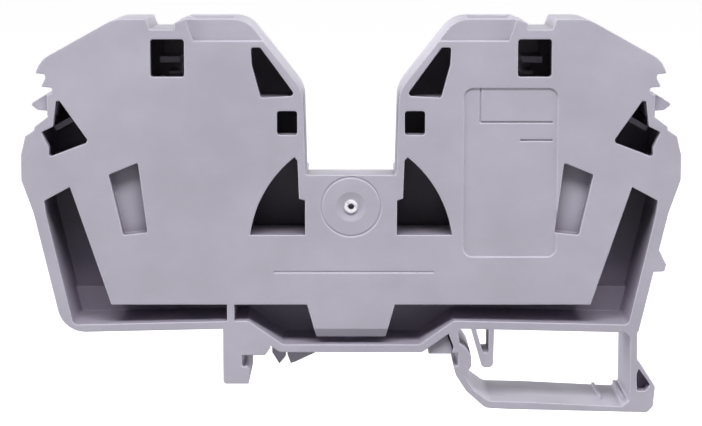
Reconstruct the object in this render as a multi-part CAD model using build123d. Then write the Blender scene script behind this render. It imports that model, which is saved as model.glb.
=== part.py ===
from build123d import *
import os
from math import cos, radians, sin, tan

# Feed-through terminal block for a 35 mm mounting rail, in millimetres.
# X runs along the conductors, Y across the block's width, Z up from the rail.
# The origin is the middle of the rail seat, on the rail's top face.

# Driving sizes of the block
block_width = 16.0
half_length = 52.65
top_height = 54.1
tower_length = 45.4
tower_height = 24.8
rail_width = 35.0
rail_flange = 1.6
rail_play = 0.15

# Walls
front_wall = 1.8
cover_thickness = 1.6
cover_lap = 0.8
chamber_wall = 1.5
outer_wall = 1.95
floor_wall = 1.25
tower_wall = 1.05
slope_wall = 1.2
roof_wall = 3.1
sill_wall = 0.8
seam_gap = 0.05

# Towers and the valley between them, insets counted from the block's end
valley_fall = 1.0
valley_roof = 4.1
knee_draft = 0.4
brow_run = 9.0
brow_drop = 11.4
brow_radius = 4.5
entry_angle = 29.0
entry_inset = 15.05
shoulder_inset = 3.45
belly_drop = 15.2

# Top groove for a marker strip
groove_inset = 24.7
groove_width = 3.95
groove_depth = 1.65
groove_lip = 0.6

# Lower body, insets counted from the block's end
floor_height = 4.4
floor_fall = 0.65
slant_inset = 0.5
trough_inset = 6.0
trough_height = 0.5
plate_foot = 8.3
plate_inset = 14.1
waist_inset = 7.75
waist_drop = 1.9
waist_fall = 0.54
wall_inset = 1.85
wall_drop = 4.2
wall_bulge = 5.3
foot_inset = 6.3
ledge_depth = 1.6
ledge_rise = 0.95

# Conductor entries, measured along each conductor from the mouth of its funnel
entry_offset = 6.6
entry_radius = 5.6
entry_mouth = 6.4
entry_lead = 1.6
entry_length = 11.6
entry_block_half = 6.5
entry_rib_depth = 10.2

# Current bar
bar_thickness = 2.5
bar_width = 9.6
bar_offset = 4.6
bar_start = 13.0
bar_rise = 3.45
bar_bend = 4.0
grip_pitch = 1.6
grip_depth = 0.35

# Clamp frames and their springs
spring_thickness = 1.3
spring_width = 9.0
spring_reach = 27.0
spring_head = 11.6
frame_start = 14.2
frame_length = 5.8
frame_strap = 1.0
frame_jaw = 1.9
frame_travel = 9.0
running_gap = 0.1

# Tool slot in the roof of each tower
slot_inset = 33.45
slot_length = 6.2
slot_width = 8.0
slot_flare = 0.5
tool_recess_depth = 1.0

# Relief of the front wall
panel_recess = 2.5
panel_wall = 0.8
label_depth = 0.25
line_depth = 0.2
line_width = 0.3
label_inset = 34.7
label_rise = 7.75
label_drop = 10.9
label_length = 14.95
gate_drop = 5.1
gate_ring = 4.9
dish_radius = 2.4
dish_depth = 0.5
nub_radius = 1.05
nub_bore = 0.5
nub_depth = 1.3

# Posts, pins and seats inside the chamber
pillar_radius = 3.4
pin_radius = 1.3
pin_length = 4.0
post_inset = 5.55
post_radius = 2.5
seat_x = 9.2
rib_half = 0.8

# Foot, hook and latch
hook_depth = 4.7
hook_column = 3.0
hook_lip = 1.15
pad_length = 3.8
pad_setback = 1.2
latch_drop = 9.43
latch_strip = 0.95
latch_web = 1.1
latch_inset = 4.65
web_inset = 6.45
pocket_depth = 3.0
finger_gap = 4.5
finger_drop = 2.0
finger_depth = 7.0

# Depths across the block
front = -block_width / 2
back = block_width / 2
chamber_front = front + front_wall
chamber_back = back - cover_thickness

# Places along the block
rail_half = rail_width / 2
trough_half = rail_half - trough_inset
slant_half = rail_half - slant_inset
finger_x = rail_half + finger_gap
valley_half = half_length - tower_length
knee = valley_half + knee_draft
brow = knee + brow_run
label_side = half_length - label_inset
slot_inner = half_length - slot_inset
groove_inner = half_length - groove_inset
groove_outer = groove_inner + groove_width
entry_brow = half_length - entry_inset
shoulder = half_length - shoulder_inset
plate_half = half_length - plate_inset
waist = half_length - waist_inset
wall_foot = half_length - foot_inset
wall_knee = half_length - wall_inset
post_x = plate_half - post_inset
web_x = half_length - web_inset
latch_length = half_length - latch_inset

# Heights above the rail
ceiling = top_height - roof_wall
knee_height = top_height - brow_drop
slope_rate = brow_drop / brow_run
shoulder_height = top_height - (shoulder - entry_brow) * tan(radians(entry_angle))
valley_height = top_height - tower_height
gate_height = valley_height - gate_drop
waist_height = valley_height - waist_drop
wall_knee_height = waist_height - wall_drop
ledge_height = plate_foot + ledge_rise
bar_height = plate_foot + bar_rise
label_foot = plate_foot + label_rise
label_top = top_height - label_drop


def plan(points, radii=0.0):
    """Closed face in X and Z, its corners rounded by the given radii."""
    if isinstance(radii, (int, float)):
        radii = [radii] * len(points)
    return make_face(FilletPolyline(*points, radius=radii, close=True))


def rounded(corners):
    """Closed face from corners that each carry their own radius."""
    return plan([(x, z) for x, z, radius in corners], [radius for x, z, radius in corners])


def mirrored(corners):
    """The corners of the right half followed by those of the left half."""
    return corners + [(-x, z, radius) for x, z, radius in reversed(corners)]


def moved(points, x, z):
    """Points given as offsets from a corner of the body."""
    return [(x + dx, z + dz) for dx, dz in points]


def slab(face, y_front, y_back):
    """Solid with the face as its outline, from one depth to another."""
    return extrude(Plane.XZ.offset(-y_back) * face, amount=y_back - y_front)


def box(x_low, x_high, z_low, z_high, y_front, y_back, radius=0.0):
    """Upright block between two depths, its corners rounded."""
    corners = [(x_low, z_low), (x_high, z_low), (x_high, z_high), (x_low, z_high)]
    return slab(plan(corners, radius), y_front, y_back)


def across(radius, x, z, y_front, y_back):
    """Round bar along Y."""
    disc = Plane.XZ.offset(-y_back) * Pos(x, z) * Circle(radius)
    return extrude(disc, amount=y_back - y_front)


def both_sides(solid):
    """The solid and its mirror image across the middle of the block."""
    return [solid, mirror(solid, about=Plane.YZ)]


# Directions of the conductor that enters the right tower
entry_in = (-sin(radians(entry_angle)), -cos(radians(entry_angle)))
entry_side = (-cos(radians(entry_angle)), sin(radians(entry_angle)))
entry_x = entry_brow + entry_offset * cos(radians(entry_angle))
entry_z = top_height - entry_offset * sin(radians(entry_angle))


def at_entry(along, aside):
    """Point along and beside the right conductor, counted from the mouth of its funnel."""
    x = entry_x + along * entry_in[0] + aside * entry_side[0]
    z = entry_z + along * entry_in[1] + aside * entry_side[1]
    return (x, z)


def marker_teeth():
    """Corners of the marker holder on the right shoulder, from the top down."""
    offsets = [
        (-2.6, -2.1, 0.15),
        (-4.05, -2.25, 0.25),
        (-4.15, -2.85, 0.2),
        (-3.45, -4.25, 0.2),
        (-5.15, -4.4, 0.3),
        (-5.2, -5.2, 0.3),
        (-3.1, -6.1, 0.6),
        (-1.4, -7.15, 0.35),
        (-2.6, -8.1, 0.6),
        (-4.15, -8.25, 0.3),
        (-4.45, -9.0, 0.3),
        (-2.3, -10.6, 0.25),
        (-2.2, -11.2, 0.2),
        (-0.75, -12.15, 0.25),
    ]
    return [(half_length + x, shoulder_height + z, radius) for x, z, radius in offsets]


def half_outline(foot_radius):
    """Corners of one half of the body, from the valley over the top to the trough."""
    corners = [
        (valley_half, valley_height, 0.3),
        (knee, knee_height, 5.0),
        (brow, top_height, brow_radius),
        (groove_inner - 1.6, top_height, 0.3),
        (groove_inner, top_height - groove_lip, 0.2),
        (groove_inner, top_height - groove_depth, 0.2),
        (groove_outer, top_height - groove_depth, 0.2),
        (groove_outer + groove_lip, top_height, 0.2),
        (entry_brow, top_height, 5.0),
        (shoulder, shoulder_height, 4.0),
    ]
    corners += marker_teeth()
    corners += [
        (half_length, shoulder_height - belly_drop, 2.0),
        (half_length, wall_knee_height + wall_bulge, 2.0),
        (wall_knee, wall_knee_height, 1.0),
        (wall_foot, floor_height - floor_fall, foot_radius),
        (slant_half, floor_height, 1.0),
        (trough_half, trough_height, 1.0),
    ]
    return corners


def body_outline():
    """Whole outline of the body without its feet: round at the left foot, square at the web."""
    right = half_outline(0.4)
    left = [(-x, z, radius) for x, z, radius in reversed(half_outline(4.5))]
    return rounded(right + left)


def plate_zone():
    """Region of the towers and of the flat plate below them."""
    far = half_length + 5
    high = top_height + 5
    corners = [
        (plate_half, plate_foot, 0.0),
        (waist, waist_height, 0.0),
        (far, waist_height - (far - waist) * waist_fall, 0.0),
        (far, high, 0.0),
    ]
    return rounded(mirrored(corners))


def chamber():
    """Hollow that holds the bar and both clamps, open to the back."""
    length = (1 + slope_rate**2) ** 0.5
    inner_knee = knee + tower_wall
    knee_cut = knee_height + (inner_knee - knee) * slope_rate - slope_wall * length
    inner_brow = inner_knee + (ceiling - knee_cut) / slope_rate
    corners = [
        (plate_half - chamber_wall * 1.4, plate_foot + chamber_wall, 1.0),
        (waist - chamber_wall * 1.2, waist_height + chamber_wall * 0.6, 1.0),
        (half_length - 4.6, waist_height + chamber_wall * 0.6, 0.6),
        (half_length - 3.2, shoulder_height - 16.0, 0.6),
        (half_length - 3.2, shoulder_height - 11.5, 0.5),
        (half_length - 5.45, shoulder_height - 9.0, 0.4),
        (half_length - 6.25, shoulder_height - 5.2, 0.8),
        (half_length - 6.25, shoulder_height - 1.8, 0.8),
        (entry_brow - 0.3, ceiling, 2.0),
        (inner_brow, ceiling, 1.0),
        (inner_knee, knee_cut, 4.0),
        (inner_knee - knee_draft, valley_height - valley_roof, 0.4),
    ]
    return slab(rounded(mirrored(corners)), chamber_front, chamber_back)


def outer_cavity():
    """Hollow between the plate and the outer wall, open to the front."""
    lean = (wall_knee - wall_foot) / (wall_knee_height - floor_height + floor_fall)
    inner_floor = floor_height + floor_wall
    outer_floor = inner_floor - floor_fall
    right = [
        (wall_foot - outer_wall + lean * (floor_wall + 0.2), outer_floor, 0.8),
        (wall_knee - outer_wall, wall_knee_height, 0.0),
        (wall_knee - outer_wall + 0.45, waist_height, 0.0),
        (waist - 2.0, waist_height + 2.0, 0.0),
    ]
    middle = [
        (-slant_half + 0.4, inner_floor, 1.0),
        (-trough_half + 0.5, trough_height + floor_wall, 1.0),
        (trough_half - 0.5, trough_height + floor_wall, 1.0),
        (slant_half - 0.4, inner_floor, 1.0),
    ]
    face = rounded(mirrored(right) + middle)
    above = box(-half_length, half_length, ledge_height, top_height, front, back)
    floor = chamber_back - cover_lap
    cavity = slab(face, front, floor - ledge_depth)
    cavity += slab(face, front, floor) & above
    return cavity - slab(plate_zone(), front, back)


def bow_arc(grow):
    """Bowed upper edge of the quarter window from its foot to its tip, or a line beside it."""
    foot = (valley_half + 8.95 + grow, valley_height - valley_roof - 5.6)
    bow = (valley_half + 6.15 + grow * 0.8, valley_height - 2.0 + grow * 0.6)
    tip = (valley_half + 1.8 + grow * 0.7, valley_height + 2.87 + grow * 0.7)
    return foot, bow, tip


def windows():
    """Openings through the front wall of the right tower."""
    brow_points = [(1.1, -0.75), (6.7, -1.05), (8.1, 4.1), (8.25, 6.95), (6.7, 6.95)]
    side_points = [
        (-5.75, -6.55),
        (-6.35, -6.5),
        (-10.7, -12.75),
        (-10.4, -13.3),
        (-4.8, -15.4),
        (-4.5, -15.15),
        (-4.5, -14.0),
        (-3.35, -11.5),
        (-5.2, -10.6),
    ]
    faces = [
        plan(moved(brow_points, knee, knee_height), [0.5, 0.5, 0.4, 0.4, 0.4]),
        plan(moved(side_points, half_length, shoulder_height), 0.2),
    ]
    step = 0.1
    foot, bow, tip = bow_arc(0)
    edge = [
        foot,
        (valley_half + step, foot[1]),
        (valley_half + step, valley_height - valley_roof),
        (knee + tower_wall - knee_draft, valley_height - valley_roof + 0.3),
        (valley_half + 1.28, valley_height + 2.34),
        tip,
    ]
    faces.append(make_face(Polyline(*edge) + ThreePointArc(tip, bow, foot)))
    solids = [slab(face, front, chamber_front) for face in faces]
    inner = valley_half + 1.3
    low = knee_height - 7.0
    solids.append(box(inner, inner + 3.25, low, low + 3.85, front, chamber_front, 0.5))
    low = ceiling - 6.05
    solids.append(box(groove_inner - 1.5, groove_outer - 0.05, low, ceiling - 0.05, front, chamber_front, 0.5))
    return solids


def window_ribs():
    """Ribs that show dimly in the side window and in the square window of the right tower."""
    start = entry_rib_depth
    aside = -entry_block_half - 4.4
    corners = [
        at_entry(start, -entry_block_half + 0.5),
        at_entry(start, aside),
        at_entry(start + 0.9, aside),
        at_entry(start + 0.9, -entry_block_half + 0.5),
    ]
    inner = groove_inner - 0.5
    outer = groove_inner + 2.8
    shelf = ceiling - 4.1
    lower = shelf - 1.95
    return [
        slab(plan(corners), chamber_front + 2.8, chamber_back),
        box(inner, outer, shelf, shelf + 1.0, chamber_front + 3.5, chamber_back),
        box(inner, outer - 1.35, lower, lower + 0.55, chamber_front + 4.5, chamber_back),
        box(inner, outer - 1.35, lower, shelf + 0.5, chamber_back - 2.0, chamber_back),
        box(inner, outer, shelf, ceiling + 0.5, chamber_back - 2.0, chamber_back),
    ]


def window_sills():
    """Sills behind the brow window and the small window of the right tower."""
    brow_sill = knee_height - 1.05
    small_sill = knee_height - 7.0
    inner = valley_half + 1.3
    return [
        box(knee + 0.5, knee + 7.2, brow_sill - sill_wall, brow_sill + 0.05, chamber_front, chamber_front + 7.0),
        box(knee + 0.5, inner + 3.6, small_sill - sill_wall, small_sill + 0.05, chamber_front, chamber_front + 1.5),
    ]


def window_walls():
    """Floor and curved wall behind the quarter window of the right tower."""
    thickness = sill_wall
    foot, bow, tip = bow_arc(0)
    far_foot, far_bow, far_tip = bow_arc(thickness)
    inner = valley_half - 0.5
    outline = ThreePointArc(tip, bow, foot) + Line(foot, (inner, foot[1]))
    outline += Polyline((inner, foot[1]), (inner, foot[1] - thickness), (far_foot[0], foot[1] - thickness), far_foot)
    outline += [ThreePointArc(far_foot, far_bow, far_tip), Line(far_tip, tip)]
    return slab(make_face(outline), chamber_front, chamber_front + 9.5)


def panel_face():
    """Four-sided outline of the recessed panel beside the right conductor."""
    offsets = [(-6.2, 1.95), (-10.9, 3.9), (-12.3, -7.4), (-8.4, -7.8)]
    return plan(moved(offsets, waist, waist_height), 0.3)


def panel_cut():
    """Recessed panel in the front wall."""
    return slab(panel_face(), front, front + panel_recess)


def panel_back():
    """Wall round the recessed panel, on the chamber's side."""
    return slab(offset(panel_face(), amount=panel_wall), chamber_front, front + panel_recess + panel_wall)


def tool_recess():
    """Step back of the front wall where the tool slot opens at the top of the right tower."""
    foot = top_height - 3.45
    outer = groove_inner - 1.7
    corners = [
        (brow - 5.5, foot, 0.0),
        (outer - 1.2, foot, 0.4),
        (outer, top_height, 0.0),
        (outer, top_height + 2, 0.0),
        (brow - 5.5, top_height + 2, 0.0),
    ]
    return slab(rounded(corners), front, front + tool_recess_depth)


def tongue_recess():
    """Step that sets the middle tooth of the right marker holder back from the front."""
    x = half_length
    z = shoulder_height
    return box(x - 4.35, x + 1, z - 8.6, z - 5.3, front, front + front_wall)


def tool_slot():
    """Slot through the roof of the right tower, flared at its mouth."""
    middle = slot_inner + slot_length / 2
    flare = 2 * slot_flare
    well = Plane.XY.offset(ceiling) * Pos(middle, 0) * Rectangle(slot_length, slot_width)
    throat = Plane.XY.offset(top_height - slot_flare) * Pos(middle, 0) * Rectangle(slot_length, slot_width)
    mouth = Plane.XY.offset(top_height) * Pos(middle, 0) * Rectangle(slot_length + flare, slot_width + flare)
    return extrude(well, amount=roof_wall) + loft([throat, mouth])


def entry_plane(along):
    """Plane across the right conductor, at a depth below the funnel's mouth."""
    x, z = at_entry(along, 0)
    return Plane(origin=(x, 0, z), x_dir=(0, 1, 0), z_dir=(entry_in[0], 0, entry_in[1]))


def entry_block():
    """Solid round the right conductor's funnel, as deep as the chamber."""
    half = entry_block_half
    corners = [
        at_entry(1.0, -half),
        at_entry(1.0, half),
        at_entry(entry_length, half),
        at_entry(entry_length, -half),
    ]
    return slab(plan(corners), chamber_front, chamber_back)


def entry_bore():
    """Round bore with a wide mouth for the right conductor."""
    above = 4.0
    bore = extrude(entry_plane(0) * Circle(entry_radius), amount=entry_length + 0.5)
    lead = loft([entry_plane(0) * Circle(entry_mouth), entry_plane(entry_lead) * Circle(entry_radius)])
    mouth = extrude(entry_plane(-above) * Circle(entry_mouth), amount=above)
    return bore + lead + mouth


def label_panel():
    """Shallow rounded panel on the right tower with its dividing lines."""
    floor = front + label_depth
    line = label_side + 2.5
    end = label_side + label_length
    level = label_top - 5.3
    lower = level - 2.9
    panel = box(label_side, end, label_foot, label_top, front, floor, 1.5)
    upright = box(line, line + line_width, level, label_top, floor, floor + line_depth)
    divider = box(line, end - 0.8, level - line_width, level, floor, floor + line_depth)
    short = box(label_side + 9.0, end - 0.8, lower - line_width, lower, floor, floor + line_depth)
    return panel + upright + divider + short


def gate_relief():
    """What is cut round the moulding gate: a faint ring, a round dish and the nub's bore."""
    ring = across(gate_ring, 0, gate_height, front, front + line_depth / 2)
    ring -= across(gate_ring - line_width, 0, gate_height, front, front + line_depth / 2)
    globe = (dish_radius**2 + dish_depth**2) / (2 * dish_depth)
    dish = Pos(0, front + dish_depth - globe, gate_height) * Sphere(globe)
    dish &= across(dish_radius + 1, 0, gate_height, front, front + 1)
    dish -= across(nub_radius, 0, gate_height, front, front + 1)
    return ring + dish + across(nub_bore, 0, gate_height, front, front + nub_depth)


def valley_cut():
    """Wedge that lets the valley floor fall towards the back."""
    profile = Polyline((front, valley_height), (back, valley_height - valley_fall), (back, valley_height), close=True)
    face = Plane.YZ.offset(-valley_half) * make_face(profile)
    return extrude(face, amount=2 * valley_half)


def post_places():
    """Where the pins of the rear cover stand."""
    height = plate_foot + chamber_wall + post_radius - 0.9
    return [(0, gate_height), (post_x, height), (-post_x, height)]


def chamber_posts():
    """Pillar under the gate, ribs that seat the bar and posts for the cover's pins."""
    low = plate_foot + chamber_wall - 0.5
    bar_top = bar_height + bar_thickness
    solids = [
        across(pillar_radius, 0, gate_height, chamber_front, chamber_back),
        box(-rib_half, rib_half, bar_top, gate_height, chamber_front, chamber_back),
    ]
    solids += both_sides(box(seat_x - rib_half, seat_x + rib_half, low, bar_height, chamber_front, chamber_back))
    for x, z in post_places()[1:]:
        solids.append(across(post_radius, x, z, chamber_front, chamber_back))
    return solids


def fixed_hook():
    """Left foot with its rail pad and the notch that hooks under the rail's edge."""
    hook_face = -rail_half - rail_play
    lip = hook_face + hook_lip
    notch = -rail_flange - 2 * rail_play
    pad_end = hook_face + pad_length
    corners = [
        (hook_face - hook_column, floor_height + 0.4, 0.0),
        (hook_face - hook_column, -hook_depth, 0.6),
        (lip, -hook_depth, 0.2),
        (lip, notch - 0.3, 0.0),
        (lip - 0.45, notch, 0.0),
        (hook_face, notch, 0.15),
        (hook_face, 0, 0.15),
        (pad_end, 0, 0.15),
        (pad_end + 0.8, 1.15, 0.1),
        (pad_end + 0.8, 2.3, 0.0),
        (-slant_half, floor_height + 0.4, 0.0),
    ]
    return slab(rounded(corners), front, back)


def rail_pad():
    """Right pad that rests on the rail, beside the latch."""
    outer = rail_half - rail_play - 1.05
    inner = outer - pad_length
    corners = [
        (inner, 0, 0.2),
        (outer, 0, 0.1),
        (outer, 1.2, 0.0),
        (outer - 1.0, 3.7, 0.0),
        (inner + 1.2, 2.8, 0.0),
        (inner + 0.1, 0.9, 0.0),
    ]
    return slab(rounded(corners), front + pad_setback, back)


def latch_frame():
    """Closed springy frame of the latch: hooked leg, bottom strip, web and end block."""
    groove = rail_half - rail_play
    tip = groove - 0.8
    low = -latch_drop
    web_in = web_x - latch_web
    outer = [
        (tip + 0.6, floor_height + 0.3, 0.0),
        (tip - 0.85, 3.6, 0.0),
        (tip + 0.05, 1.3, 0.3),
        (tip - 0.2, 0.4, 0.1),
        (groove, 0.35, 0.15),
        (groove, -rail_flange - rail_play, 0.15),
        (tip, -rail_flange - rail_play - 0.1, 0.15),
        (tip + 0.4, -3.3, 0.5),
        (tip + 2.1, -5.9, 2.5),
        (tip + 5.2, low + 0.75, 2.0),
        (tip + 9.0, low + 0.55, 0.5),
        (latch_length, low, 0.8),
        (latch_length + 0.9, low + 1.0, 0.5),
        (latch_length + 1.2, low + 4.3, 0.6),
        (web_x + 0.3, -1.0, 0.15),
        (web_x, -0.8, 0.15),
        (web_x, floor_height, 0.0),
    ]
    strip = low + latch_strip
    inner = [
        (tip + 0.75, 3.5, 0.3),
        (tip + 1.0, 1.9, 0.3),
        (tip + 2.1, 1.1, 0.5),
        (tip + 2.9, -0.2, 0.6),
        (tip + 2.9, -1.8, 0.6),
        (tip + 1.9, -3.4, 0.6),
        (tip + 3.3, -5.8, 1.5),
        (tip + 5.7, strip + 0.9, 2.0),
        (tip + 12.0, strip + 0.75, 0.5),
        (web_in - 1.2, strip, 0.4),
        (web_in, strip + 1.0, 0.4),
        (web_in, floor_height - floor_fall - 0.75, 0.6),
        (web_in - 1.0, floor_height - floor_fall, 0.0),
        (tip + 0.9, floor_height - 0.05, 0.0),
    ]
    return slab(rounded(outer), front, back) - slab(rounded(inner), front, back)


def latch_pocket():
    """Pocket in the end of the latch that a screwdriver pries in."""
    offsets = [(0.3, -2.2), (-0.05, -3.25), (0.1, -5.9), (1.4, -5.9), (2.2, -4.95), (1.75, -4.2)]
    return slab(plan(moved(offsets, web_x, 0), 0.15), front, front + pocket_depth)


def spring_finger():
    """V-shaped stop that hangs from the floor into the latch frame."""
    low = -finger_drop
    top = floor_height
    outer = [
        (finger_x - 2.7, top, 0.0),
        (finger_x - 0.85, low, 0.8),
        (finger_x + 0.95, low, 0.8),
        (finger_x + 1.1, top, 0.0),
    ]
    inner = [
        (finger_x - 1.8, top - 0.15, 0.0),
        (finger_x - 0.7, 0.4, 0.2),
        (finger_x + 0.2, 0.45, 0.2),
        (finger_x + 0.2, top - 0.15, 0.0),
    ]
    end = front + finger_depth
    return slab(rounded(outer), front, end) - slab(rounded(inner), front, end)


def latch_ribs():
    """Low ribs across the top of the latch strip."""
    foot = -latch_drop + latch_strip - 0.3
    places = [(web_x - 5.3, 5.0, 0.8), (web_x - 1.7, 2.5, 1.2)]
    return [box(x - 0.25, x + 0.25, foot, foot + rise, front + start, back) for x, start, rise in places]


def anti_shift_teeth():
    """Two small wedges under the trough, in the back half of the block."""
    low = trough_height
    first = [(-13.3, low + 1.6), (-13.2, low - 2.7), (-12.0, low - 4.65), (-10.95, low - 3.4), (-10.9, low + 0.6)]
    second = [(-10.8, low + 0.6), (-10.65, low - 3.1), (-10.1, low - 4.55), (-9.4, low - 4.35)]
    second += [(-6.0, low - 2.75), (-5.95, low + 0.4)]
    return [slab(plan(corners), back - 3.0, back) for corners in (first, second)]


def lower_trim():
    """Tab and rib that join the plate to the floor, and the barb on the right wall."""
    half = 7.05
    foot_half = 5.55
    low = plate_foot - 5.4
    corners = [(-half, plate_foot, 0.0), (-foot_half, low, 0.3), (foot_half, low, 0.3), (half, plate_foot, 0.0)]
    high = plate_foot + 0.5
    corners = [(-half, high, 0.0)] + corners + [(half, high, 0.0)]
    profile = Polyline((front, low), (front + 1.0, low), (front, low + 1.45), close=True)
    bevel = extrude(Plane.YZ.offset(-half) * make_face(profile), amount=2 * half)
    barb = [(-3.0, -6.3), (-1.3, -6.1), (-0.2, -8.35), (-0.45, -9.5), (-3.0, -9.6)]
    return [
        slab(rounded(corners), front, chamber_front) - bevel,
        box(-slant_half - 2.95, -slant_half - 1.8, floor_height + 0.5, plate_foot + 0.5, front, chamber_back),
        slab(plan(moved(barb, wall_knee, wall_knee_height), [0.0, 0.3, 0.3, 0.3, 0.0]), front, back),
    ]


def housing():
    """One moulding: body, hollows, windows, funnels, hook and latch."""
    cover_zone = slab(plate_zone(), chamber_back, back)
    body = slab(body_outline(), front, back)
    body -= [cover_zone, outer_cavity(), chamber(), valley_cut()]
    added = chamber_posts() + lower_trim() + anti_shift_teeth() + latch_ribs()
    added += [fixed_hook(), rail_pad(), latch_frame(), spring_finger()]
    for solid in [entry_block(), panel_back(), window_walls()] + window_ribs() + window_sills():
        added += both_sides(solid)
    body += added
    line_height = gate_height - 10.75
    cuts = [label_panel(), gate_relief(), latch_pocket()]
    cuts.append(box(-12.4, 13.3, line_height, line_height + line_width, front, front + line_depth / 2))
    for x, z in post_places():
        cuts.append(across(pin_radius + seam_gap, x, z, chamber_back - pin_length - 0.5, chamber_back))
    for solid in windows() + [entry_bore(), tool_slot(), panel_cut(), tool_recess(), tongue_recess()]:
        cuts += both_sides(solid)
    return body - cuts


def rear_cover():
    """Flat cover with three pins that closes the chamber from behind."""
    cover = slab(body_outline(), chamber_back, back) & slab(plate_zone(), chamber_back, back)
    cover -= valley_cut()
    return cover + [across(pin_radius, x, z, chamber_back - pin_length, chamber_back) for x, z in post_places()]


def strip(path, thickness, width):
    """Flat strip bent along a path in the middle plane of the block."""
    start = Plane(origin=path @ 0, x_dir=(0, 1, 0), z_dir=path % 0)
    return sweep(start * Rectangle(width, thickness), path=path)


def in_plane(point, side=1):
    """Point of the block's middle plane, from its X and Z."""
    return (side * point[0], 0, point[1])


def current_bar():
    """Tinned copper bar bent up at both ends, with gripping grooves at the clamps."""
    level = bar_height + bar_thickness / 2
    top = at_entry(bar_start, bar_offset + bar_thickness / 2)
    bend = (top[0] - (top[1] - level) * tan(radians(entry_angle)), level)
    points = [in_plane(top, -1), in_plane(bend, -1), in_plane(bend), in_plane(top)]
    bar = strip(FilletPolyline(*points, radius=bar_bend), bar_thickness, bar_width)
    grooves = []
    for count in range(int((frame_length - 1) / grip_pitch) + 1):
        along = frame_start + 1.0 + count * grip_pitch
        corners = [
            at_entry(along - grip_depth, bar_offset - running_gap),
            at_entry(along, bar_offset + grip_depth),
            at_entry(along + grip_depth, bar_offset - running_gap),
        ]
        grooves += both_sides(slab(plan(corners), -bar_width, bar_width))
    return bar - grooves


# Rows beside the conductor: where each limb of the spring and each member of the frame lies
fixed_limb = bar_offset + bar_thickness + spring_thickness / 2
moving_limb = fixed_limb + spring_thickness + frame_travel
jaw = bar_offset - running_gap
frame_back = moving_limb + spring_thickness / 2 + running_gap


def clamp_frame():
    """Closed steel frame round the right conductor and the bar, which slides across them."""
    half = bar_width / 2 + 2 * running_gap
    end = frame_start + frame_length
    outer = [(frame_start, jaw - frame_jaw), (frame_start, frame_back + frame_jaw)]
    outer += [(end, frame_back + frame_jaw), (end, jaw - frame_jaw)]
    inner = [(frame_start - 1, jaw), (frame_start - 1, frame_back), (end + 1, frame_back), (end + 1, jaw)]
    frame = slab(plan([at_entry(*place) for place in outer], 0.3), -half - frame_strap, half + frame_strap)
    return frame - slab(plan([at_entry(*place) for place in inner]), -half, half)


def clamp_spring():
    """Hairpin leaf spring: one limb on the bar, hooked over its end, the other in the frame."""
    hook = bar_start - spring_thickness / 2
    bend = (moving_limb - fixed_limb) / 2
    corners = [(hook, bar_offset + 0.3), (hook, fixed_limb), (spring_reach, fixed_limb)]
    corners = [in_plane(at_entry(*place)) for place in corners]
    crown = in_plane(at_entry(spring_reach + bend, fixed_limb + bend))
    turn = in_plane(at_entry(spring_reach, moving_limb))
    head = in_plane(at_entry(spring_head, moving_limb))
    path = FilletPolyline(*corners, radius=spring_thickness / 2 + 0.01)
    path += [ThreePointArc(corners[-1], crown, turn), Line(turn, head)]
    return strip(path, spring_thickness, spring_width)


os.makedirs("parts", exist_ok=True)
export_step(housing(), "parts/housing.step")
export_step(rear_cover(), "parts/rear_cover.step")
export_step(current_bar(), "parts/current_bar.step")
for name, solid in (("clamp_frame", clamp_frame()), ("clamp_spring", clamp_spring())):
    right, left = both_sides(solid)
    export_step(right, f"parts/{name}_right.step")
    export_step(left, f"parts/{name}_left.step")
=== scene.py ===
import math

import bmesh
import bpy
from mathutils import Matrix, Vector


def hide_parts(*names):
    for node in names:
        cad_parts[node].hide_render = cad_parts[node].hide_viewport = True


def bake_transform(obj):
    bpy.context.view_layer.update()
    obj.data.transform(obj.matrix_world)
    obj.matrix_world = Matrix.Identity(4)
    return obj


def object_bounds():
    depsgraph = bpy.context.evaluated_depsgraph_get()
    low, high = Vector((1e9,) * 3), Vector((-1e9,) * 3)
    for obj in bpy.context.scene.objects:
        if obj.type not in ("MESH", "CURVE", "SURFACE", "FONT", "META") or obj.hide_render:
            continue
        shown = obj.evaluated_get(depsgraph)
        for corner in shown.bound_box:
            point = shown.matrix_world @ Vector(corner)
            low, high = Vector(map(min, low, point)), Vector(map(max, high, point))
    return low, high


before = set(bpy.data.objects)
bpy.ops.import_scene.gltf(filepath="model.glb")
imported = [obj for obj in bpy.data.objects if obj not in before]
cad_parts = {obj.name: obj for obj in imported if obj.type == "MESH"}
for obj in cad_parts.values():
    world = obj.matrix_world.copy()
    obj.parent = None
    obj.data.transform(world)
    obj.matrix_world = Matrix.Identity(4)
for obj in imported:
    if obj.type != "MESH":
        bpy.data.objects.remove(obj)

cad_low, cad_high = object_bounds()

# Camera, aimed at the middle of the block's near side from 8 degrees above, as in the photograph.
# One pixel is 0.16 mm at that side, 348 mm away.
CAMERA_TARGET = Vector((0.0, -0.008, 0.02319))
CAMERA_DISTANCE = 0.348
CAMERA_ELEVATION = math.radians(8.0)
IMAGE_WIDTH_AT_BLOCK = 702 * 0.00016
SENSOR_WIDTH = 36.0
camera_data = bpy.data.cameras.new("camera")
camera_data.sensor_width = SENSOR_WIDTH
camera_data.lens = SENSOR_WIDTH * CAMERA_DISTANCE / IMAGE_WIDTH_AT_BLOCK
camera_data.clip_start = 0.01
camera_data.clip_end = 20.0
camera = bpy.data.objects.new("camera", camera_data)
bpy.context.collection.objects.link(camera)
towards_camera = Vector((0.0, -math.cos(CAMERA_ELEVATION), math.sin(CAMERA_ELEVATION)))
camera.location = CAMERA_TARGET + towards_camera * CAMERA_DISTANCE
camera.rotation_euler = (-towards_camera).to_track_quat("-Z", "Y").to_euler()
bpy.context.scene.camera = camera
bpy.context.scene.view_settings.view_transform = "Standard"


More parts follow.
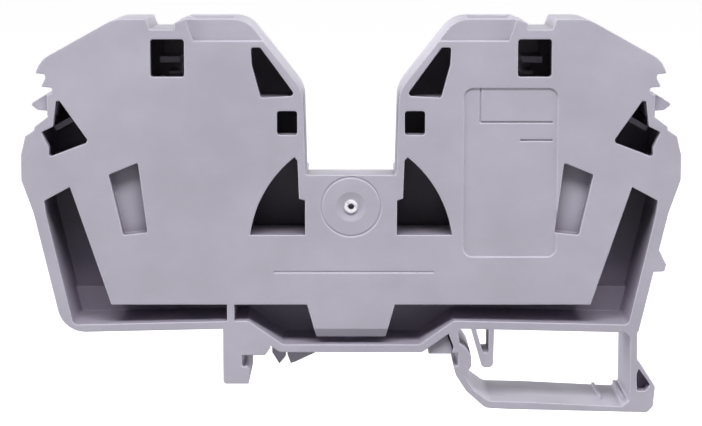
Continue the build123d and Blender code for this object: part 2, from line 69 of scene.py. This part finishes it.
# Housing: one injection moulding in light grey polyamide, with towers, windows, funnels,
# fixed hook and sprung latch. The tool's satin polish leaves soft, cloudy flow marks.
PLASTIC_GREY = (0.449, 0.429, 0.503, 1.0)
PLASTIC_CLOUD = (0.388, 0.371, 0.437, 1.0)
HOUSING_EDGE_RADIUS = 0.00030
FLOW_CLOUDS_PER_METRE = 70.0
SPECKLES_PER_METRE = 700.0
GLOSS_PATCHES_PER_METRE = 190.0
GRAINS_PER_METRE = 5200.0
WAVES_PER_METRE = 260.0
SATIN_FROM, SATIN_TO = 0.29, 0.50
# Painted recess shade: reach of the occlusion that darkens the base colour, and the heights between
# which it turns from pale near the rail to dark in the high windows.
PAINTED_SHADE_REACH = 0.014
PALE_PAINTED_SHADE_TOP = 0.012
DARK_PAINTED_SHADE_FOOT = 0.020
# Gate nub and the painted highlight round it: its centre, reach, patchiness and colour.
GATE_CENTRE = (0.0, -0.0080, 0.0242)
NUB_RADIUS = 0.00118
GATE_HIGHLIGHT_PATCHES_PER_METRE = 1500.0
GATE_HIGHLIGHT_WHITE = (0.92, 0.91, 0.95, 1.0)


def start_material(name):
    """Empty material with its principled shader and the coordinates of the block's frame."""
    material = bpy.data.materials.new(name)
    material.use_nodes = True
    nodes = material.node_tree.nodes
    shader = nodes["Principled BSDF"]
    place = nodes.new("ShaderNodeTexCoord")
    return material, nodes, material.node_tree.links, shader, place.outputs["Object"]


def noise(nodes, links, place, scale, detail=2.0, roughness=0.5, stretch=(1.0, 1.0, 1.0)):
    """Noise in the block's frame, with scale in lumps per metre, multiplied by stretch."""
    mapping = nodes.new("ShaderNodeMapping")
    mapping.inputs["Scale"].default_value = stretch
    texture = nodes.new("ShaderNodeTexNoise")
    texture.inputs["Scale"].default_value = scale
    texture.inputs["Detail"].default_value = detail
    texture.inputs["Roughness"].default_value = roughness
    links.new(place, mapping.inputs["Vector"])
    links.new(mapping.outputs["Vector"], texture.inputs["Vector"])
    return texture.outputs["Fac"]


def spread(nodes, links, value, low, high, to_low, to_high):
    """Value mapped from one range to another."""
    node = nodes.new("ShaderNodeMapRange")
    node.inputs["From Min"].default_value = low
    node.inputs["From Max"].default_value = high
    node.inputs["To Min"].default_value = to_low
    node.inputs["To Max"].default_value = to_high
    links.new(value, node.inputs["Value"])
    return node.outputs["Result"]


def mixed(nodes, links, factor, first, second):
    """Colour between two colours or sockets."""
    node = nodes.new("ShaderNodeMix")
    node.data_type = "RGBA"
    links.new(factor, node.inputs["Factor"])
    for socket, colour in ((node.inputs[6], first), (node.inputs[7], second)):
        if isinstance(colour, tuple):
            socket.default_value = colour
        else:
            links.new(colour, socket)
    return node.outputs[2]


def bumped(nodes, links, height, strength, distance, normal):
    """Normal disturbed by a height, on top of another normal."""
    node = nodes.new("ShaderNodeBump")
    node.inputs["Strength"].default_value = strength
    node.inputs["Distance"].default_value = distance
    links.new(height, node.inputs["Height"])
    links.new(normal, node.inputs["Normal"])
    return node.outputs["Normal"]


def toned(colour, red, green, blue):
    """Colour with its channels multiplied, white at most."""
    return (min(colour[0] * red, 1.0), min(colour[1] * green, 1.0), min(colour[2] * blue, 1.0), 1.0)


def moulded_plastic(name, grey, cloud, edge_radius):
    """Satin moulded polyamide with flow clouds, fine tool texture, softly rounded edges, painted
    edge highlights and painted recess shade.
    """
    material, nodes, links, shader, place = start_material(name)
    clouds = noise(nodes, links, place, FLOW_CLOUDS_PER_METRE, 4.0, 0.55, (1.0, 1.0, 1.3))
    speckle = noise(nodes, links, place, SPECKLES_PER_METRE, 2.0, 0.5)
    flow = mixed(nodes, links, spread(nodes, links, clouds, 0.32, 0.68, 0.0, 1.0), grey, cloud)
    fine = spread(nodes, links, speckle, 0.3, 0.7, 0.0, 0.16)
    surface_colour = mixed(nodes, links, fine, flow, cloud)

    # Painted highlight: edges are made paler in the base colour where the softened normal turns
    # away from the face.
    edge = nodes.new("ShaderNodeBevel")
    edge.samples = 6
    edge.inputs["Radius"].default_value = edge_radius
    flat = nodes.new("ShaderNodeNewGeometry")
    turned = nodes.new("ShaderNodeVectorMath")
    turned.operation = "DOT_PRODUCT"
    links.new(edge.outputs["Normal"], turned.inputs[0])
    links.new(flat.outputs["Normal"], turned.inputs[1])
    painted_edge_highlight = spread(nodes, links, turned.outputs["Value"], 0.995, 0.84, 0.0, 0.9)
    with_painted_edge_highlight = mixed(nodes, links, painted_edge_highlight, surface_colour, toned(grey, 1.6, 1.6, 1.6))

    # Painted shade: recesses are darkened in the base colour by ambient occlusion, the high windows
    # more than the open cavities near the rail.
    painted_shade_occlusion = nodes.new("ShaderNodeAmbientOcclusion")
    painted_shade_occlusion.samples = 8
    painted_shade_occlusion.inputs["Distance"].default_value = PAINTED_SHADE_REACH
    painted_shade_amount = spread(nodes, links, painted_shade_occlusion.outputs["AO"], 0.05, 0.58, 1.0, 0.0)
    height = nodes.new("ShaderNodeSeparateXYZ")
    links.new(place, height.inputs["Vector"])
    pale_painted_shade_low_down = spread(
        nodes, links, height.outputs["Z"], PALE_PAINTED_SHADE_TOP, DARK_PAINTED_SHADE_FOOT, 1.0, 0.0
    )
    painted_window_shade = toned(cloud, 0.42, 0.37, 0.41)
    painted_cavity_shade = toned(cloud, 0.92, 0.84, 0.92)
    shade = mixed(nodes, links, pale_painted_shade_low_down, painted_window_shade, painted_cavity_shade)
    links.new(mixed(nodes, links, painted_shade_amount, with_painted_edge_highlight, shade), shader.inputs["Base Color"])

    gloss = noise(nodes, links, place, GLOSS_PATCHES_PER_METRE, 1.5, 0.45, (1.0, 0.5, 1.0))
    satin = spread(nodes, links, gloss, 0.2, 0.8, SATIN_FROM, SATIN_TO)
    links.new(satin, shader.inputs["Roughness"])
    shader.inputs["Specular IOR Level"].default_value = 0.32
    grain = noise(nodes, links, place, GRAINS_PER_METRE, 2.0, 0.6)
    waves = noise(nodes, links, place, WAVES_PER_METRE, 1.0, 0.4)
    surface = bumped(nodes, links, waves, 0.10, 0.0004, edge.outputs["Normal"])
    links.new(bumped(nodes, links, grain, 0.05, 0.00004, surface), shader.inputs["Normal"])
    return material


def paint_gate_highlight(material, centre, radius):
    """Painted highlight: a pale bloom round the nub where the sprue broke off, standing in for the
    glint on its ring.
    """
    nodes, links = material.node_tree.nodes, material.node_tree.links
    shader = nodes["Principled BSDF"]
    place = nodes.new("ShaderNodeTexCoord").outputs["Object"]
    away = nodes.new("ShaderNodeVectorMath")
    away.operation = "DISTANCE"
    away.inputs[1].default_value = centre
    links.new(place, away.inputs[0])
    gate_highlight_reach = spread(nodes, links, away.outputs["Value"], radius, radius * 0.88, 0.0, 0.85)
    patchy = noise(nodes, links, place, GATE_HIGHLIGHT_PATCHES_PER_METRE, 2.0, 0.6)
    gate_highlight = nodes.new("ShaderNodeMath")
    gate_highlight.operation = "MULTIPLY"
    links.new(gate_highlight_reach, gate_highlight.inputs[0])
    links.new(spread(nodes, links, patchy, 0.36, 0.5, 0.25, 1.0), gate_highlight.inputs[1])
    under = shader.inputs["Base Color"].links[0].from_socket
    with_gate_highlight = mixed(nodes, links, gate_highlight.outputs["Value"], under, GATE_HIGHLIGHT_WHITE)
    links.new(with_gate_highlight, shader.inputs["Base Color"])


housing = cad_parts["housing"]
housing_polyamide = moulded_plastic(
    "housing_polyamide", PLASTIC_GREY, PLASTIC_CLOUD, HOUSING_EDGE_RADIUS
)
paint_gate_highlight(housing_polyamide, GATE_CENTRE, NUB_RADIUS)
housing.data.materials.clear()
housing.data.materials.append(housing_polyamide)


# Rear cover: flat moulding of the same polyamide, pressed on with three pins behind the clamps.
# It comes from another tool, so its grey is a shade deeper and its edges are crisper.
COVER_GREY = (0.430, 0.412, 0.488, 1.0)
COVER_CLOUD = (0.396, 0.380, 0.450, 1.0)
COVER_EDGE_RADIUS = 0.00016
rear_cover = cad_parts["rear_cover"]
rear_cover.data.materials.clear()
rear_cover.data.materials.append(
    moulded_plastic("cover_polyamide", COVER_GREY, COVER_CLOUD, COVER_EDGE_RADIUS)
)


# Current bar: flat copper, sheared, bent up at both ends and tin-plated to a dull silver.
# It rests on the housing's ribs, and its grooves bite into the conductors.
TIN = (0.70, 0.69, 0.66, 1.0)
TIN_STAIN = (0.60, 0.58, 0.54, 1.0)
TIN_ROUGHNESS = 0.38
BAR_LAY = (0.08, 1.0, 0.08)
LINES_PER_METRE = 2600.0
PLATING_PATCHES_PER_METRE = 210.0
SHEARED_EDGE_RADIUS = 0.00012


def plated_metal(name, colour, stain, roughness, lay):
    """Plated strip with fine drawing lines along the lay and a slightly uneven plating."""
    material, nodes, links, shader, place = start_material(name)
    lines = noise(nodes, links, place, LINES_PER_METRE, 2.0, 0.6, lay)
    patches = noise(nodes, links, place, PLATING_PATCHES_PER_METRE, 3.0, 0.55)
    tone = spread(nodes, links, patches, 0.35, 0.7, 0.0, 0.8)
    links.new(mixed(nodes, links, tone, colour, stain), shader.inputs["Base Color"])
    drawn = spread(nodes, links, lines, 0.3, 0.7, roughness - 0.07, roughness + 0.09)
    links.new(drawn, shader.inputs["Roughness"])
    shader.inputs["Metallic"].default_value = 1.0
    edge = nodes.new("ShaderNodeBevel")
    edge.samples = 4
    edge.inputs["Radius"].default_value = SHEARED_EDGE_RADIUS
    surface = bumped(nodes, links, lines, 0.14, 0.00005, edge.outputs["Normal"])
    links.new(surface, shader.inputs["Normal"])
    return material


current_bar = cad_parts["current_bar"]
current_bar.data.materials.clear()
current_bar.data.materials.append(
    plated_metal("tinned_copper", TIN, TIN_STAIN, TIN_ROUGHNESS, BAR_LAY)
)


# Clamp frames: closed loops of steel strap, zinc-plated, round the bar and the conductor.
# Each slides across its conductor when the spring is pressed.
ZINC = (0.66, 0.67, 0.68, 1.0)
ZINC_STAIN = (0.56, 0.57, 0.60, 1.0)
ZINC_ROUGHNESS = 0.30
STRAP_LAY = (1.0, 0.1, 1.0)
for side in ("left", "right"):
    clamp_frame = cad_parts["clamp_frame_" + side]
    clamp_frame.data.materials.clear()
    clamp_frame.data.materials.append(
        plated_metal("zinc_plate_" + side, ZINC, ZINC_STAIN, ZINC_ROUGHNESS, STRAP_LAY)
    )


# Clamp springs: hairpins of stainless strip, hooked over the bar's end at one limb.
# The other limb lies in the clamp frame and goes with it when the clamp opens.
SPRING_THICKNESS = 0.0013
SPRING_WIDTH = 0.0090
SPRING_BEND_RADIUS = 0.00515
LIP_RADIUS = 0.00066
FIXED_LIMB = 0.00775
MOVING_LIMB = FIXED_LIMB + 2 * SPRING_BEND_RADIUS
LIP_START = 0.0049
LIP_DEPTH = 0.01235
SPRING_REACH = 0.027
SPRING_HEAD = 0.0116
BROKEN_EDGE = 0.00012
LIP_STEPS, CORNER_STEPS, FIXED_STEPS, BEND_STEPS, MOVING_STEPS = 3, 6, 10, 28, 12
ENTRY_X = 0.0433725
ENTRY_Z = 0.0509003
ENTRY_ANGLE = math.radians(29.0)
STAINLESS = (0.62, 0.61, 0.60, 1.0)
STAINLESS_STAIN = (0.52, 0.50, 0.48, 1.0)
STAINLESS_ROUGHNESS = 0.26
SPRING_LAY = (0.1, 1.0, 0.1)


def at_entry(side, along, aside):
    """Point in the block's middle plane, along and beside the conductor of one side."""
    x = ENTRY_X - along * math.sin(ENTRY_ANGLE) - aside * math.cos(ENTRY_ANGLE)
    z = ENTRY_Z - along * math.cos(ENTRY_ANGLE) + aside * math.sin(ENTRY_ANGLE)
    return Vector((side * x, 0.0, z))


def spring_line():
    """Middle line of the hairpin as (along, aside) pairs, from the lip to the free end."""
    lip_length = FIXED_LIMB - LIP_RADIUS - LIP_START
    line = [(LIP_DEPTH, LIP_START + lip_length * i / LIP_STEPS) for i in range(LIP_STEPS + 1)]
    for i in range(1, CORNER_STEPS + 1):
        turn = math.radians(90.0 * i / CORNER_STEPS)
        along = LIP_DEPTH + LIP_RADIUS * (1 - math.cos(turn))
        line.append((along, FIXED_LIMB - LIP_RADIUS * (1 - math.sin(turn))))
    start = line[-1][0]
    for i in range(1, FIXED_STEPS + 1):
        line.append((start + (SPRING_REACH - start) * i / FIXED_STEPS, FIXED_LIMB))
    middle = (FIXED_LIMB + MOVING_LIMB) / 2
    for i in range(1, BEND_STEPS + 1):
        turn = math.radians(180.0 * i / BEND_STEPS)
        along = SPRING_REACH + SPRING_BEND_RADIUS * math.sin(turn)
        line.append((along, middle - SPRING_BEND_RADIUS * math.cos(turn)))
    for i in range(1, MOVING_STEPS + 1):
        along = SPRING_REACH + (SPRING_HEAD - SPRING_REACH) * i / MOVING_STEPS
        line.append((along, MOVING_LIMB))
    return line


def make_spring(name, side):
    """Bent strip along the hairpin's line, with its sheared edges broken."""
    centre = [at_entry(side, *place) for place in spring_line()]
    mesh = bpy.data.meshes.new(name)
    bm = bmesh.new()
    rings = []
    for i, point in enumerate(centre):
        run = (centre[min(i + 1, len(centre) - 1)] - centre[max(i - 1, 0)]).normalized()
        out = Vector((run.z, 0.0, -run.x)) * SPRING_THICKNESS / 2
        half = Vector((0.0, SPRING_WIDTH / 2, 0.0))
        corners = [point - half - out, point + half - out, point + half + out, point - half + out]
        rings.append([bm.verts.new(corner) for corner in corners])
    for ring, following in zip(rings, rings[1:]):
        for i in range(4):
            j = (i + 1) % 4
            bm.faces.new((ring[i], ring[j], following[j], following[i]))
    bm.faces.new(rings[0])
    bm.faces.new(list(reversed(rings[-1])))
    bmesh.ops.recalc_face_normals(bm, faces=bm.faces)
    long_edges = [e for e in bm.edges if e.calc_face_angle(0.0) > math.radians(60)]
    bmesh.ops.bevel(
        bm, geom=long_edges, offset=BROKEN_EDGE, segments=2, affect="EDGES", profile=0.5
    )
    bm.to_mesh(mesh)
    bm.free()
    mesh.shade_smooth()
    mesh.set_sharp_from_angle(angle=math.radians(50))
    spring = bpy.data.objects.new(name, mesh)
    bpy.context.collection.objects.link(spring)
    return spring


for side_name, side in (("left", -1), ("right", 1)):
    spring = make_spring("hairpin_spring_" + side_name, side)
    spring.data.materials.append(
        plated_metal(
            "spring_strip_" + side_name, STAINLESS, STAINLESS_STAIN, STAINLESS_ROUGHNESS, SPRING_LAY
        )
    )
    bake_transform(spring)
    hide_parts("clamp_spring_" + side_name)


# Floor: a plain pale sheet well below the block, which hangs as on its rail.
# It is lit like the block and keeps its shadow.
FLOOR_DROP = 0.050
FLOOR_HALF = 3.0
FLOOR_GREY = (0.42, 0.42, 0.42, 1.0)
FLOOR_GLOW = 0.98
floor_mesh = bpy.data.meshes.new("floor")
floor_height = cad_low.z - FLOOR_DROP
floor_corners = [
    (-FLOOR_HALF, -FLOOR_HALF, floor_height),
    (FLOOR_HALF, -FLOOR_HALF, floor_height),
    (FLOOR_HALF, FLOOR_HALF, floor_height),
    (-FLOOR_HALF, FLOOR_HALF, floor_height),
]
floor_mesh.from_pydata(floor_corners, [], [(0, 1, 2, 3)])
floor = bpy.data.objects.new("floor", floor_mesh)
bpy.context.collection.objects.link(floor)
floor_material = bpy.data.materials.new("floor_white")
floor_material.use_nodes = True
nodes, links = floor_material.node_tree.nodes, floor_material.node_tree.links
nodes.remove(nodes["Principled BSDF"])
matt = nodes.new("ShaderNodeBsdfDiffuse")
matt.inputs["Color"].default_value = FLOOR_GREY
glow = nodes.new("ShaderNodeEmission")
seen = nodes.new("ShaderNodeLightPath")
seen_share = nodes.new("ShaderNodeMath")
seen_share.operation = "MULTIPLY"
seen_share.inputs[1].default_value = FLOOR_GLOW
links.new(seen.outputs["Is Camera Ray"], seen_share.inputs[0])
links.new(seen_share.outputs["Value"], glow.inputs["Strength"])
both = nodes.new("ShaderNodeAddShader")
links.new(matt.outputs["BSDF"], both.inputs[0])
links.new(glow.outputs["Emission"], both.inputs[1])
links.new(both.outputs["Shader"], nodes["Material Output"].inputs["Surface"])
floor_mesh.materials.append(floor_material)


# Light: a white room that is seen and mirrored as white, and five large soft lamps.
# The main one hangs above the front, so the windows stay dark under their upper edges.
# Two weak ones stand low at the sides, and two light the back and the towers' flanks.
ROOM_WHITE = (1.0, 1.0, 1.0, 1.0)
ROOM_FILL = 0.012
ROOM_SEEN = 1.0
LAMP_TARGET = Vector((0.0, 0.0, 0.02))
world = bpy.data.worlds.new("white_room")
bpy.context.scene.world = world
world.use_nodes = True
nodes, links = world.node_tree.nodes, world.node_tree.links
room = nodes["Background"]
room.inputs["Color"].default_value = ROOM_WHITE
path = nodes.new("ShaderNodeLightPath")
camera_or_gloss = nodes.new("ShaderNodeMath")
camera_or_gloss.operation = "MAXIMUM"
links.new(path.outputs["Is Camera Ray"], camera_or_gloss.inputs[0])
links.new(path.outputs["Is Glossy Ray"], camera_or_gloss.inputs[1])
any_sight = nodes.new("ShaderNodeMath")
any_sight.operation = "MAXIMUM"
links.new(camera_or_gloss.outputs["Value"], any_sight.inputs[0])
links.new(path.outputs["Is Transmission Ray"], any_sight.inputs[1])
strength = spread(nodes, links, any_sight.outputs["Value"], 0.0, 1.0, ROOM_FILL, ROOM_SEEN)
links.new(strength, room.inputs["Strength"])


def soft_lamp(name, place, width, height, power):
    """Rectangular soft lamp that faces the block's middle."""
    data = bpy.data.lights.new(name, "AREA")
    data.shape = "RECTANGLE"
    data.size = width
    data.size_y = height
    data.energy = power
    lamp = bpy.data.objects.new(name, data)
    bpy.context.collection.objects.link(lamp)
    lamp.location = place
    lamp.rotation_euler = (LAMP_TARGET - Vector(place)).to_track_quat("-Z", "Y").to_euler()
    lamp.visible_camera = False


soft_lamp("lamp_left", (-0.72, -0.26, 0.12), 0.35, 0.3, 2.0)
soft_lamp("lamp_right", (0.72, -0.26, 0.12), 0.35, 0.3, 1.4)
soft_lamp("lamp_above", (0.0, -0.46, 0.635), 0.7, 0.24, 6.7)
soft_lamp("lamp_back_left", (-0.70, 0.36, 0.12), 0.6, 0.36, 7.0)
soft_lamp("lamp_back_right", (0.70, 0.36, 0.12), 0.6, 0.36, 5.6)
